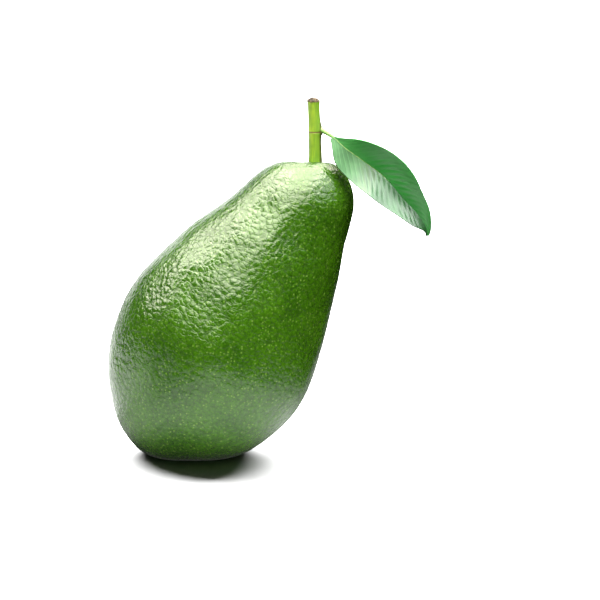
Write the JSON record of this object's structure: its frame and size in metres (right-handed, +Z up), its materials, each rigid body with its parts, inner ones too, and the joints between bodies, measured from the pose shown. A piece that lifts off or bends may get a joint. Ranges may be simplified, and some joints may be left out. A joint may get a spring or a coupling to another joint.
{
  "type": "avocado",
  "caption": "Whole green avocado with pebbled skin, leaning on a small flat spot, with its short cut stem and a small folded leaf.",
  "frame": {"origin": "middle of the flat spot under the fruit's blossom end, on the surface that it rests on", "axes": "+Z up; +X to the side that the neck leans to and the leaf points to; -Y to the front of the leaf"},
  "size_m": [0.1095, 0.0705, 0.1228],
  "materials": {
    "skin": "satin",
    "stem": "satin",
    "leaf": "satin"
  },
  "bodies": {
    "root": {"fruit": "skin", "stem": "stem", "leaf": "leaf"}
  },
  "joints": []
}
